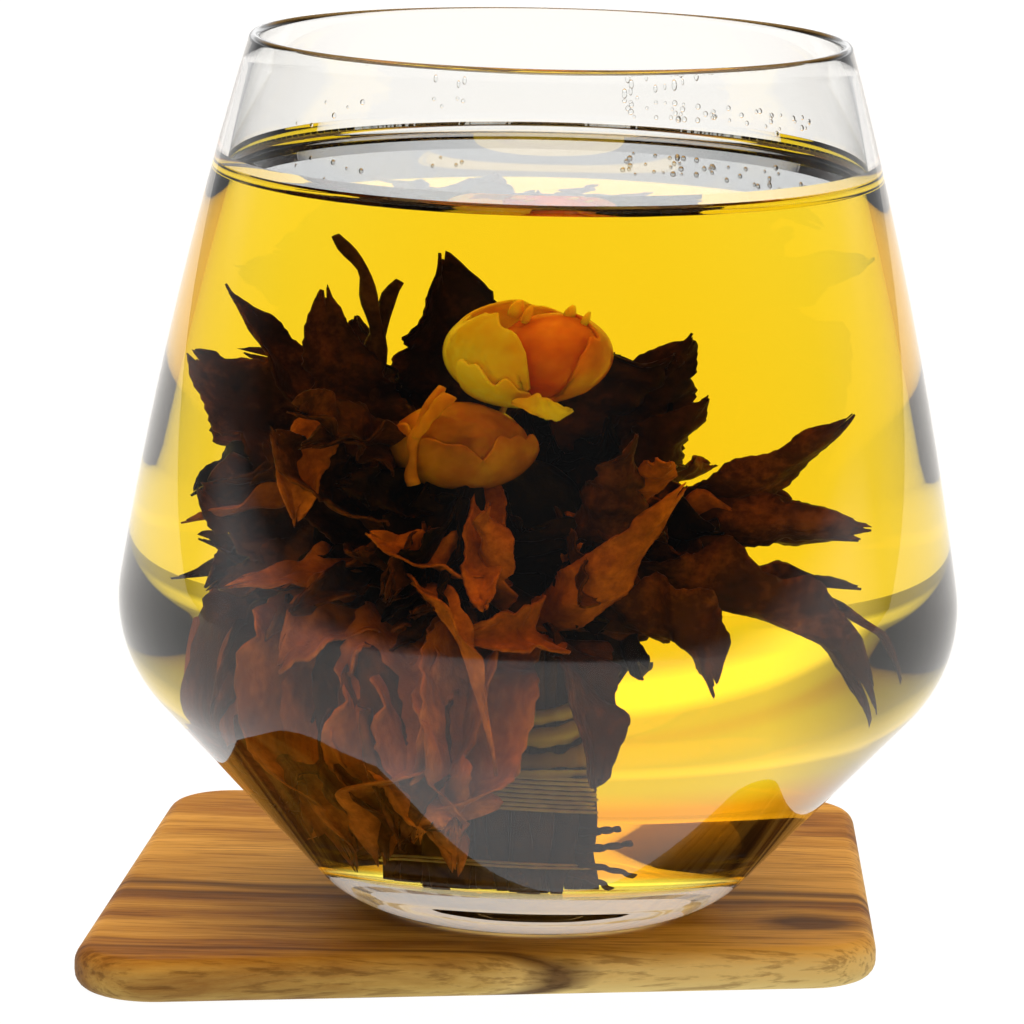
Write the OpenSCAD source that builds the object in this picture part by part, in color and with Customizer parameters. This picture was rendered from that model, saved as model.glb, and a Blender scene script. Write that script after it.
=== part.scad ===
// Stemless glass of blooming tea on a wooden coaster.
// Z is up. The glass axis is the Z axis, and the coaster's underside lies on z = 0.

/* [Coaster] */
// Thickness of the coaster
coaster_thick = 5; // [4.5:0.5:9]
// Radius of the coaster's four corners
coaster_corner_r = 9; // [5:1:14]
// Rounding along the coaster's edges
edge_round = 2; // [1:0.25:2.2]

/* [Tumbler] */
// Largest outer radius of the glass
glass_max_r = 49.5; // [46:0.5:54]
// Height of the glass
glass_h = 103; // [95:1:110]
// Outer radius at the rim
rim_r = 35.2; // [34.8:0.1:38]
// Height of the widest point
belly_z = 36.5; // [34:0.5:40]
// Radius of the round shoulder below the wall
shoulder_r = 17; // [15:0.5:22]
// Slope of the lower cone from the vertical
cone_slope = 43; // [40:1:45]
// Radius of the long curve of the upper wall
wall_curve_r = 520; // [400:10:800]
// Rounding between the foot and the cone
foot_round_r = 13; // [8:1:14]
// Rounding of the bowl-shaped floor inside the glass
well_round_r = 25; // [20:1:26]
// Wall thickness at the rim
rim_thick = 1.4; // [1.1:0.1:2]
// Wall thickness at the shoulder and the cone
belly_thick = 2.2; // [1.8:0.1:3]
// Thickness of the glass base
base_thick = 6.5; // [5:0.5:9]
// Depth of the hollow under the glass
punt_depth = 0.8; // [0.4:0.1:2]
// Radius of the hollow under the glass
punt_r = 14; // [10:1:15]

/* [Tea] */
// Height of the tea's surface above the underside of the glass
tea_level = 87; // [80:0.5:92]
// Radius of the space that the opened bloom takes in the tea
bloom_space_r = 33.2; // [32:0.1:33.4]

/* [Bloom] */
// Radius of the bundle of stems
bundle_r = 8.6; // [7:0.2:10]
// How far the bundle stands left of the glass axis
bundle_shift = 4; // [2:0.5:6]
// Thickness of a leaf's blade
leaf_thick = 0.7; // [0.5:0.05:0.9]
// Thickness of the binding thread
thread_d = 0.6; // [0.5:0.1:1.2]

/* [Hidden] */
// z of the glass's underside
floor_z = coaster_thick;
// Z of the cavity's floor above the glass's underside
well_z = base_thick;
// Height at which the stems end and the leaf bases start
heart_z = 31;
// Half size of the heart of pressed leaf bases
heart_r = 9.5;
heart_h = 11;
arc_step = 6;
leaf_rings = 9;
$fn = 96;

// Centres of the rounded corners of the hand-cut coaster: front left, front right, back right, back left
coaster_corners = [[-43.5, -26], [31.5, -13], [32, 51], [-37, 48]];

// Leaves of the opened bloom: [root, middle, tip, width, turn of the blade about its spine].
// Points are [x, y, z] in mm, from the axis at the glass's underside. -Y is the front.
crown_leaves = [
    [[-11, -2, 50], [-19, -2, 58], [-20, -2, 72], 8, 80],
    [[-12, 2, 50], [-21, 2, 58], [-29, 2, 71], 6, 60],
    [[-5, 5, 52], [-8, 7, 62], [-9, 6, 75], 10, 85],
    [[4, 3, 48], [8, 3, 56], [13, 2, 67], 9, 75],
    [[-12, 7, 50], [-14, 12, 58], [-15, 14, 66], 9, 80],
    [[2, 9, 50], [4, 14, 56], [6, 17, 62], 10, 85],
    [[-3, 12, 47], [-5, 19, 54], [-6, 23, 64], 9, 80],
    [[7, -4, 47], [11, -5, 54], [15, -4, 61], 6, 60]
];
side_leaves = [
    [[6, 0, 45], [17, -1, 46], [28, 0, 58], 6, 55],
    [[6, -2, 43], [18, -3, 47], [30, 0, 45], 6, 80],
    [[5, -1, 40], [17, -3, 40], [29, 0, 38], 5, 45],
    [[6, 2, 39], [20, 1, 41], [32, 3, 31], 4, 30],
    [[-12, 3, 46], [-23, 6, 54], [-31, 7, 62], 12, 65],
    [[-13, -6, 42], [-20, -8, 46], [-26, -6, 55], 5, 75],
    [[-13, 1, 41], [-25, 0, 44], [-31, 1, 48], 12, 65],
    [[-13, -3, 38], [-23, -6, 40], [-30, -3, 37], 8, 40],
    [[5, 6, 41], [15, 14, 44], [20, 20, 44], 9, 50],
    [[2, 9, 41], [9, 20, 45], [13, 28, 47], 9, 55],
    [[-6, 11, 41], [-9, 22, 45], [-9, 31, 52], 9, 60],
    [[-12, 8, 42], [-20, 16, 46], [-24, 21, 55], 9, 50],
    [[-13, -5, 44], [-22, -12, 50], [-27, -14, 58], 9, 60]
];
front_leaves = [
    [[-1, -12, 36], [4, -20, 38], [14, -17, 53], 6, 65],
    [[-4, -11, 38], [-6, -20, 40], [-5, -19, 51], 6, 50],
    [[-13, -14, 41], [-11, -28, 44], [-4, -24, 27], 4, 15],
    [[-3, -12, 41], [-11, -19, 43], [-17, -18, 47], 6, 45],
    [[-17, -9, 59], [-24, -13, 57], [-24, -14, 47], 6, 20],
    [[2, -9, 44], [8, -15, 50], [9, -12, 58], 6, 70],
    [[-2, -12, 35], [3, -22, 38], [-8, -22, 36], 6, 70],
    [[-11, -8, 36], [-20, -14, 38], [-25, -14, 32], 8, 45]
];
skirt_leaves = [
    [[4, -6, 37], [18, -9, 41], [31, -3, 30], 11, 45],
    [[3, -9, 35], [13, -15, 38], [17, -15, 31], 10, 50],
    [[-11, -6, 34], [-26, -12, 37], [-23, -12, 13], 13, 35],
    [[-13, -1, 34], [-32, -2, 37], [-26, -3, 13], 12, 30],
    [[-8, -9, 34], [-17, -24, 36], [-16, -18, 11], 12, 25],
    [[-5, -9, 34], [-7, -25, 36], [-8, -20, 11], 11, 25],
    [[-9, 9, 35], [-22, 18, 37], [-20, 16, 13], 13, 35],
    [[0, 8, 38], [6, 21, 44], [9, 27, 40], 10, 35],
    [[5, 3, 38], [18, 10, 43], [26, 13, 41], 9, 35],
    [[1, -9, 34], [5, -19, 35], [6, -23, 25], 8, 25]
];
// Stems that stand apart at the top: [root, middle, tip]
loose_stems = [
    [[-16, -1, 52], [-13, -2, 72], [-19, -1, 78]],
    [[-14, 0, 52], [-17, -1, 64], [-13, -1, 73]]
];

// Places of the bundle's stems about its own axis: one in the middle and six around it
stem_pitch = bundle_r * 2 / 3;
stem_gap = 0.1;
stem_r = (stem_pitch - stem_gap) / 2;
bundle_stems = concat([[0, 0]], [for (a = [0:60:300]) stem_pitch * [cos(a), sin(a)]]);

// ---------- profiles ----------

// Points of an arc about [r, z], from one angle to another
function arc(centre, r, from, to) =
    let (steps = max(2, ceil(abs(to - from) / arc_step)))
    [for (k = [0:steps]) let (a = from + (to - from) * k / steps) centre + r * [cos(a), sin(a)]];

// Centre of the shoulder's arc
shoulder_c = [glass_max_r - shoulder_r, belly_z];

// Angle on the shoulder at which a wall of curve radius wall_r leaves it for the rim point
function wall_angle(round_r, wall_r, rim) =
    let (
        d = rim - shoulder_c,
        reach = (wall_r ^ 2 - (wall_r - round_r) ^ 2 - d * d) / (2 * (wall_r - round_r))
    )
    atan2(d[1], d[0]) - acos(reach / norm(d));

// Side of the glass from its floor to the rim: rounding, cone, shoulder and upper wall
function side_profile(round_r, wall_r, rim, floor_height, corner_r) =
    let (
        turn = wall_angle(round_r, wall_r, rim),
        wall_c = shoulder_c - (wall_r - round_r) * [cos(turn), sin(turn)],
        past = rim - wall_c,
        lift = floor_height + corner_r - belly_z,
        corner_x = shoulder_c[0] + (round_r - corner_r + lift * sin(cone_slope)) / cos(cone_slope),
        end = atan2(past[1], past[0])
    )
    concat(
        [[0, floor_height]],
        arc([corner_x, floor_height + corner_r], corner_r, -90, -cone_slope),
        arc(shoulder_c, round_r, -cone_slope, turn),
        [for (k = [1:8]) let (a = turn + (end - turn) * k / 8) wall_c + wall_r * [cos(a), sin(a)]]
    );

// Radius of the shallow dome that hollows the underside
punt_curve_r = (punt_r ^ 2 + punt_depth ^ 2) / (2 * punt_depth);

lip_r = rim_thick / 2;
lip_c = [rim_r - lip_r, glass_h - lip_r];
outer_side = concat(
    arc([0, punt_depth - punt_curve_r], punt_curve_r, 90, 90 - asin(punt_r / punt_curve_r)),
    [for (p = side_profile(shoulder_r, wall_curve_r, lip_c + [lip_r, 0], 0, foot_round_r)) if (p[0] > 0) p]
);
inner_side = side_profile(
    shoulder_r - belly_thick, wall_curve_r - belly_thick, lip_c - [lip_r, 0], well_z, well_round_r
);

// Space for the bloom: a narrow foot for the stems, then hanging leaves under a wide round body
stem_space_r = bundle_r + bundle_shift + 1.4;
bloom_space = [
    [0, well_z],
    [stem_space_r, well_z],
    [bloom_space_r - 12, 8],
    [bloom_space_r - 6, 11],
    [bloom_space_r, 17],
    [bloom_space_r, 64],
    [bloom_space_r - 3, 74],
    [bloom_space_r - 8, 80],
    [0, 81]
];

// ---------- leaves ----------

function unit(v) = v / norm(v);
function bezier(p, t) = (1 - t) ^ 2 * p[0] + 2 * t * (1 - t) * p[1] + t ^ 2 * p[2];
function bezier_way(p, t) = unit((1 - t) * (p[1] - p[0]) + t * (p[2] - p[1]));
// Half width along the blade: a narrow stalk, a broad middle and a drawn-in tip
function blade_half(width, t) = width / 2 * (0.16 + 0.84 * sin(180 * t ^ 0.85) ^ 0.8);
// The blade's side direction, turned about its spine
function blade_side(way, turn) =
    let (level = unit(cross(way, [0, 0, 1])), rise = cross(level, way))
    level * cos(turn) + rise * sin(turn);

// Six points round the blade at one place: upper left, middle, right, then lower right, middle, left
function blade_ring(leaf, t) =
    let (
        here = bezier(leaf, t),
        way = bezier_way(leaf, t),
        side = blade_side(way, leaf[4]),
        face = cross(side, way),
        half = blade_half(leaf[3], t),
        fold = face * half * 0.35,
        skin = face * leaf_thick / 2
    )
    [
        here - side * half + fold + skin,
        here + skin,
        here + side * half + fold + skin,
        here + side * half + fold - skin,
        here - skin,
        here - side * half + fold - skin
    ];

// A closed tube of rings with the same number of points
module skin_rings(rings) {
    n = len(rings[0]);
    last = len(rings) - 1;
    polyhedron(
        points = [for (ring = rings) each ring],
        faces = concat(
            [for (k = [1:n - 2]) [0, k, k + 1]],
            [
                for (j = [0:last - 1], k = [0:n - 1])
                let (a = j * n + k, b = j * n + (k + 1) % n)
                each [[a, a + n, b + n], [a, b + n, b]]
            ],
            [for (k = [1:n - 2]) [last * n, last * n + k + 1, last * n + k]]
        )
    );
}

module leaf_blade(leaf) {
    translate([0, 0, floor_z])
        skin_rings([for (j = [0:leaf_rings]) blade_ring(leaf, j / leaf_rings)]);
}

// A round stem along a curve, thinner at its tip
module stem(curve, root_d, tip_d) {
    rings = 8;
    sides = 8;
    translate([0, 0, floor_z])
        skin_rings([
            for (j = [0:rings])
            let (
                t = j / rings,
                way = bezier_way(curve, t),
                side = unit(cross(way, [0, 1, 0])),
                up = cross(side, way),
                r = (root_d + (tip_d - root_d) * t) / 2
            )
            [for (k = [0:sides - 1]) bezier(curve, t)
                + r * (side * cos(360 * k / sides) - up * sin(360 * k / sides))]
        ]);
}

// An ellipsoid, as a revolved half outline stretched sideways
module globe(centre, radii) {
    translate([centre[0], centre[1], centre[2] + floor_z])
        rotate_extrude()
            intersection() {
                scale([radii[0], radii[2]])
                    circle(r = 1, $fn = 32);
                translate([0, -radii[2]])
                    square([radii[0], 2 * radii[2]]);
            }
}

// ---------- coaster ----------

module coaster() {
    color("burlywood")
        hull()
            for (at = coaster_corners)
                translate([at[0], at[1], 0])
                    rotate_extrude($fn = 48)
                        polygon(concat(
                            [[0, 0]],
                            arc([coaster_corner_r - edge_round, edge_round], edge_round, -90, 0),
                            arc([coaster_corner_r - edge_round, coaster_thick - edge_round],
                                edge_round, 0, 90),
                            [[0, coaster_thick]]
                        ));
}

// ---------- glass and tea ----------

module tumbler() {
    color("lightcyan", 0.4)
        translate([0, 0, floor_z])
            rotate_extrude()
                polygon(concat(
                    outer_side,
                    arc(lip_c, lip_r, 15, 165),
                    [for (k = [len(inner_side) - 1:-1:0]) inner_side[k]]
                ));
}

module tea_liquor() {
    color("goldenrod", 0.6)
        translate([0, 0, floor_z])
            rotate_extrude()
                difference() {
                    intersection() {
                        polygon(concat(inner_side, [[0, glass_h - lip_r]]));
                        square([glass_max_r, tea_level]);
                    }
                    polygon(bloom_space);
                }
}

// ---------- bundle of stems ----------

module bundle_stem(i) {
    color("saddlebrown")
        translate([bundle_stems[i - 1][0] - bundle_shift, bundle_stems[i - 1][1], floor_z + well_z])
            cylinder(r = stem_r, h = heart_z - well_z, $fn = 24);
}

// Turns of thread laid round the bundle
module thread_turns(height, turns) {
    ring_r = stem_pitch + stem_r + thread_d / 2 + stem_gap;
    for (k = [0:turns - 1])
        translate([-bundle_shift, 0, floor_z + height + k * (thread_d + stem_gap)])
            rotate_extrude($fn = 48)
                translate([ring_r, 0])
                    circle(d = thread_d, $fn = 16);
}

module binding_thread() {
    color("khaki")
        thread_turns(23, 9);
}

module stem_tie() {
    color("khaki")
        thread_turns(13, 2);
}

module bloom_heart() {
    color([0.12, 0.05, 0.03])
        globe([-bundle_shift, 0, heart_z + heart_h], [heart_r, heart_r, heart_h]);
}

// ---------- leaves ----------

module crown_leaf(i) {
    color([0.26, 0.12, 0.06])
        leaf_blade(crown_leaves[i - 1]);
}

module side_leaf(i) {
    color([0.3, 0.14, 0.07])
        leaf_blade(side_leaves[i - 1]);
}

module front_leaf(i) {
    color([0.45, 0.24, 0.1])
        leaf_blade(front_leaves[i - 1]);
}

module skirt_leaf(i) {
    color([0.22, 0.1, 0.05])
        leaf_blade(skirt_leaves[i - 1]);
}

module loose_stem(i) {
    color([0.36, 0.18, 0.08])
        stem(loose_stems[i - 1], 1.8, 1.2);
}

// ---------- flower ----------

module lower_flower() {
    color("peru")
        globe([-7.5, -9, 55.8], [6.4, 6, 4.9]);
}

module upper_flower() {
    color("gold")
        globe([-4.4, -7.6, 66.2], [5.2, 5.6, 5.7]);
}

module flower_core() {
    color("darkorange")
        globe([1.6, -7.6, 66], [4.8, 5.2, 5.3]);
}

module flower_petal() {
    color("orange")
        leaf_blade([[-3, -13.8, 61.7], [0, -15.4, 60.2], [2.8, -13.8, 61], 3, 60]);
}

module flower_stalk() {
    color("sienna")
        stem([[-9.6, -12.6, 63], [-13.4, -15, 58], [-12.2, -14, 52]], 0.9, 1.3);
}

module flower_thread() {
    color("khaki")
        stem([[-5, -6, 49], [-5, -8, 58], [-3.6, -8, 64]], 0.8, 0.8);
}

coaster();
tumbler();
tea_liquor();
bloom_heart();
binding_thread();
stem_tie();
for (i = [1:len(bundle_stems)]) bundle_stem(i);
for (i = [1:len(loose_stems)]) loose_stem(i);
for (i = [1:len(crown_leaves)]) crown_leaf(i);
for (i = [1:len(side_leaves)]) side_leaf(i);
for (i = [1:len(front_leaves)]) front_leaf(i);
for (i = [1:len(skirt_leaves)]) skirt_leaf(i);
lower_flower();
upper_flower();
flower_core();
flower_petal();
flower_stalk();
flower_thread();
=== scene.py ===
import math

import bpy
import numpy as np
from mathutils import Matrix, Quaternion, Vector, noise


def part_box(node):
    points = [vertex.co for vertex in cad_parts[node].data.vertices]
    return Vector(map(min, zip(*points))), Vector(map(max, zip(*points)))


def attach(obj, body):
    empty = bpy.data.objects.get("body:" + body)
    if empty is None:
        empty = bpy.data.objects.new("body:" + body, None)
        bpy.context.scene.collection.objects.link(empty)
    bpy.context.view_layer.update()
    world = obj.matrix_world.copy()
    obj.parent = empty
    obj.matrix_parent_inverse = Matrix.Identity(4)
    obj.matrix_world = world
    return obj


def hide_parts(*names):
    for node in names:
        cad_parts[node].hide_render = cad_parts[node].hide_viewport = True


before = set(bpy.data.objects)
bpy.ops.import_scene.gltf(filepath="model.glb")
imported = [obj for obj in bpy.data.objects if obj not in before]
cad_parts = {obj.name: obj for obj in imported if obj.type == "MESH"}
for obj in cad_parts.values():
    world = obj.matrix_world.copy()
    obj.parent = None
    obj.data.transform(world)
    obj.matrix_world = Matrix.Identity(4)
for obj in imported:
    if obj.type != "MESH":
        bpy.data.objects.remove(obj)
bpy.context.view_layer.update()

MM = 0.001

# ---------------------------------------------------------------- dimensions, from the frame
COASTER_LO, COASTER_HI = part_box("coaster")
GLASS_LO, GLASS_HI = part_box("tumbler")
TEA_LO, TEA_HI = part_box("tea_liquor")
FLOOR_Z = GLASS_LO.z                      # underside of the glass
GLASS_H = GLASS_HI.z - GLASS_LO.z
BELLY_R = (GLASS_HI.x - GLASS_LO.x) / 2
WELL_Z = TEA_LO.z - FLOOR_Z               # thickness of the glass base
TEA_LEVEL = TEA_HI.z - FLOOR_Z
# The profile's other sizes repeat part.scad, in metres
RIM_R = 35.2 * MM
BELLY_Z = 36.5 * MM
SHOULDER_R = 17 * MM
CONE_SLOPE = math.radians(43)
WALL_CURVE_R = 520 * MM
FOOT_ROUND_R = 13 * MM
WELL_ROUND_R = 25 * MM
PUNT_DEPTH = 0.8 * MM
PUNT_R = 14 * MM
RIM_THICK = 1.4 * MM
BELLY_THICK = 2.2 * MM
HOLLOW_STEPS = 12                         # points along the hollow under the glass
STAND_R = 18.5 * MM                       # the ground hollow and the foot ring round it reach this radius
# Tea
MENISCUS = 1.1 * MM
SKIN = 0.15 * MM
REACH = 0.05 * MM                         # how far the tea laps into the glass wall
DROPLETS = 60
DROP_RINGS = 7
DROP_SIDES = 10


# ---------------------------------------------------------------- mesh helpers
def new_object(name, verts, faces, smooth=True):
    mesh = bpy.data.meshes.new(name)
    mesh.from_pydata([tuple(v) for v in verts], [], faces)
    mesh.validate()
    mesh.polygons.foreach_set("use_smooth", [smooth] * len(mesh.polygons))
    mesh.update()
    obj = bpy.data.objects.new(name, mesh)
    bpy.context.scene.collection.objects.link(obj)
    return obj


def arc(cx, cz, r, start, end, step=math.radians(3)):
    steps = max(3, math.ceil(abs(end - start) / step))
    angles = np.linspace(start, end, steps + 1)
    return [(cx + r * math.cos(a), cz + r * math.sin(a)) for a in angles]


def side_profile(round_r, wall_r, rim, floor_height, corner_r):
    """The glass's side from its floor to the rim: rounding, cone, shoulder and upper wall."""
    cx, cz = BELLY_R - SHOULDER_R, BELLY_Z
    dx, dz = rim[0] - cx, rim[1] - cz
    away = math.hypot(dx, dz)
    reach = (wall_r**2 - (wall_r - round_r) ** 2 - away**2) / (2 * (wall_r - round_r))
    turn = math.atan2(dz, dx) - math.acos(reach / away)
    wx = cx - (wall_r - round_r) * math.cos(turn)
    wz = cz - (wall_r - round_r) * math.sin(turn)
    end = math.atan2(rim[1] - wz, rim[0] - wx)
    lift = floor_height + corner_r - cz
    corner_x = cx + (round_r - corner_r + lift * math.sin(CONE_SLOPE)) / math.cos(CONE_SLOPE)
    if floor_height == 0:
        parts = [k / HOLLOW_STEPS for k in range(HOLLOW_STEPS + 1)]
        points = [(PUNT_R * u, PUNT_DEPTH * (1 - u**2)) for u in parts]
    else:
        points = [(corner_x * k / 4, floor_height) for k in range(4)]
    points += arc(corner_x, floor_height + corner_r, corner_r, -math.pi / 2, -CONE_SLOPE)
    foot_end, cone_end = points[-1], arc(cx, cz, round_r, -CONE_SLOPE, turn)
    for k in range(1, 6):
        points.append(tuple(np.array(foot_end) + (np.array(cone_end[0]) - foot_end) * k / 6))
    points += cone_end
    for k in range(1, 25):
        a = turn + (end - turn) * k / 24
        points.append((wx + wall_r * math.cos(a), wz + wall_r * math.sin(a)))
    return points


def lathe(name, profile, z0, sides=192):
    """A closed surface turned about Z. The profile's first and last points lie on the axis."""
    inner = profile[1:-1]
    verts = [(0, 0, profile[0][1] + z0), (0, 0, profile[-1][1] + z0)]
    for r, z in inner:
        for k in range(sides):
            a = 2 * math.pi * k / sides
            verts.append((r * math.cos(a), r * math.sin(a), z + z0))
    faces = []
    for k in range(sides):
        n = (k + 1) % sides
        faces.append((0, 2 + n, 2 + k))
        last = 2 + (len(inner) - 1) * sides
        faces.append((1, last + k, last + n))
    for j in range(len(inner) - 1):
        for k in range(sides):
            n = (k + 1) % sides
            a, b = 2 + j * sides, 2 + (j + 1) * sides
            faces.append((a + k, a + n, b + n, b + k))
    return new_object(name, verts, faces)


def radius_at(profile, z):
    zs = [p[1] for p in profile]
    rs = [p[0] for p in profile]
    return float(np.interp(z, zs, rs))


# ---------------------------------------------------------------- material helpers
def material(name):
    mat = bpy.data.materials.new(name)
    mat.use_nodes = True
    tree = mat.node_tree
    return mat, tree, tree.nodes["Principled BSDF"]


def add(tree, kind, **values):
    node = tree.nodes.new(kind)
    for key, value in values.items():
        if hasattr(node, key):
            setattr(node, key, value)
        else:
            node.inputs[key].default_value = value
    return node


def ramp(tree, stops):
    node = tree.nodes.new("ShaderNodeValToRGB")
    elements = node.color_ramp.elements
    while len(elements) < len(stops):
        elements.new(0.5)
    for element, (place, colour) in zip(elements, stops):
        element.position = place
        element.color = (*colour, 1)
    return node


def clear_glass(name, ior, roughness=0.0):
    mat, tree, bsdf = material(name)
    bsdf.inputs["Base Color"].default_value = (0.985, 0.992, 0.99, 1)
    bsdf.inputs["Roughness"].default_value = roughness
    bsdf.inputs["IOR"].default_value = ior
    bsdf.inputs["Transmission Weight"].default_value = 1.0
    return mat


def ground_glass_painted_glow():
    """The hollow under the glass, ground white. It has a painted glow, which stands in for the light that the
    base carries.
    """
    mat, tree, bsdf = material("glass_ground_hollow_painted_glow")
    coords = add(tree, "ShaderNodeTexCoord")
    grit = add(tree, "ShaderNodeTexNoise", Scale=900.0, Detail=3.0)
    tree.links.new(coords.outputs["Object"], grit.inputs["Vector"])
    white = ramp(tree, [(0.35, (0.86, 0.86, 0.86)), (0.65, (0.97, 0.97, 0.97))])
    tree.links.new(grit.outputs["Fac"], white.inputs["Fac"])
    tree.links.new(white.outputs["Color"], bsdf.inputs["Base Color"])
    bsdf.inputs["Roughness"].default_value = 0.7
    # painted glow: emission in place of the light carried through the base
    bsdf.inputs["Emission Color"].default_value = (1, 1, 1, 1)
    bsdf.inputs["Emission Strength"].default_value = 0.45
    return mat


GLASS_IOR = 1.5
TEA_IOR = 1.333


def tea_material():
    """The liquid's body: no bend at its walls, which the wetted glass bends for it, and a golden depth."""
    mat, tree, bsdf = material("tea_depth")
    bsdf.inputs["Base Color"].default_value = (1, 1, 1, 1)
    bsdf.inputs["Roughness"].default_value = 0.0
    bsdf.inputs["IOR"].default_value = 1.0
    bsdf.inputs["Transmission Weight"].default_value = 1.0
    absorb = add(tree, "ShaderNodeVolumeAbsorption")
    absorb.inputs["Color"].default_value = (0.994, 0.905, 0.06, 1)
    absorb.inputs["Density"].default_value = 60.0
    tree.links.new(absorb.outputs[0], tree.nodes["Material Output"].inputs["Volume"])
    return mat


# ---------------------------------------------------------------- glass and tea
def build_tumbler():
    """The glass as one closed wall.

    Its wetted faces bend light as glass to tea, the others as glass to air.
    """
    lip = RIM_THICK / 2
    lip_c = (RIM_R - lip, GLASS_H - lip)
    outer = side_profile(SHOULDER_R, WALL_CURVE_R, (lip_c[0] + lip, lip_c[1]), 0.0, FOOT_ROUND_R)
    inner = side_profile(
        SHOULDER_R - BELLY_THICK,
        WALL_CURVE_R - BELLY_THICK,
        (lip_c[0] - lip, lip_c[1]),
        WELL_Z,
        WELL_ROUND_R,
    )
    rim = arc(*lip_c, lip, math.radians(15), math.radians(165), math.radians(15))
    obj = lathe("tumbler_glass", outer + rim + inner[::-1], FLOOR_Z)
    obj.data.materials.append(clear_glass("glass_dry", GLASS_IOR))
    obj.data.materials.append(clear_glass("glass_wetted", GLASS_IOR / TEA_IOR))
    obj.data.materials.append(ground_glass_painted_glow())
    wet_z = FLOOR_Z + TEA_LEVEL + MENISCUS
    for poly in obj.data.polygons:
        c = poly.center
        r_outer = radius_at(outer[HOLLOW_STEPS + 2:], c.z - FLOOR_Z)
        inside = math.hypot(c.x, c.y) < r_outer - 0.6 * BELLY_THICK and c.z > FLOOR_Z + 0.6 * WELL_Z
        if inside and c.z < wet_z:
            poly.material_index = 1
        if c.z < FLOOR_Z + 1 * MM and math.hypot(c.x, c.y) < STAND_R:
            poly.material_index = 2
    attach(obj, "glass")
    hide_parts("tumbler")
    return inner


def build_droplets(inner):
    """Condensed drops on the inside of the glass, a little above the tea."""
    rand = np.random.default_rng(41)
    parts = []
    for k in range(DROPLETS):
        z = TEA_LEVEL + rand.uniform(1.8, 4.8) * MM
        az = math.radians(rand.uniform(28, 76) if k % 6 else rand.uniform(100, 150))
        r = radius_at(inner, z)
        size = rand.uniform(0.18, 0.38) * MM
        verts, faces = [], []
        for i in range(DROP_RINGS):
            lat = -math.pi / 2 + math.pi * (i + 0.5) / DROP_RINGS
            for j in range(DROP_SIDES):
                lon = 2 * math.pi * j / DROP_SIDES
                out = size * 0.5 * math.cos(lat) * math.cos(lon)
                side = size * math.cos(lat) * math.sin(lon)
                place_r = r - 0.35 * size + out
                x = place_r * math.cos(az) - side * math.sin(az)
                y = place_r * math.sin(az) + side * math.cos(az)
                verts.append((x, y, FLOOR_Z + z + size * math.sin(lat)))
        for i in range(DROP_RINGS - 1):
            low, high = i * DROP_SIDES, (i + 1) * DROP_SIDES
            for j in range(DROP_SIDES):
                n = (j + 1) % DROP_SIDES
                faces.append((low + j, low + n, high + n, high + j))
        last = (DROP_RINGS - 1) * DROP_SIDES
        faces.append(tuple(range(DROP_SIDES - 1, -1, -1)))
        faces.append(tuple(last + j for j in range(DROP_SIDES)))
        parts.append((verts, faces))
    joined("droplets", parts, clear_glass("water_drop", TEA_IOR), "glass")


def build_tea(inner):
    below = [(r + (REACH if r > 0 else 0), z - REACH) for r, z in inner if z < TEA_LEVEL - 0.5 * MM]
    edge_r = radius_at(inner, TEA_LEVEL)
    body = below + [(edge_r + REACH, TEA_LEVEL - SKIN), (0, TEA_LEVEL - SKIN)]
    obj = lathe("tea_body", body, FLOOR_Z)
    obj.data.materials.append(tea_material())
    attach(obj, "glass")
    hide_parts("tea_liquor")

    top_r = radius_at(inner, TEA_LEVEL + MENISCUS)
    curve = []
    for k in range(13):
        u = k / 12
        r = top_r + REACH - 2.6 * MM * (1 - u)
        curve.append((r, TEA_LEVEL + MENISCUS * u**3.2))
    skin = [(0, TEA_LEVEL - 2 * SKIN / 3), (edge_r + REACH, TEA_LEVEL - 2 * SKIN / 3)]
    skin += curve[::-1] + [(curve[0][0] * k / 5, TEA_LEVEL) for k in (4, 3, 2, 1, 0)]
    top = lathe("tea_surface", skin, FLOOR_Z)
    top.data.materials.append(clear_glass("tea_top", TEA_IOR))
    top.data.materials.append(clear_glass("tea_under", 1.0))
    for poly in top.data.polygons:
        if poly.normal.z < 0.05:
            poly.material_index = 1
    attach(top, "glass")


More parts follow.
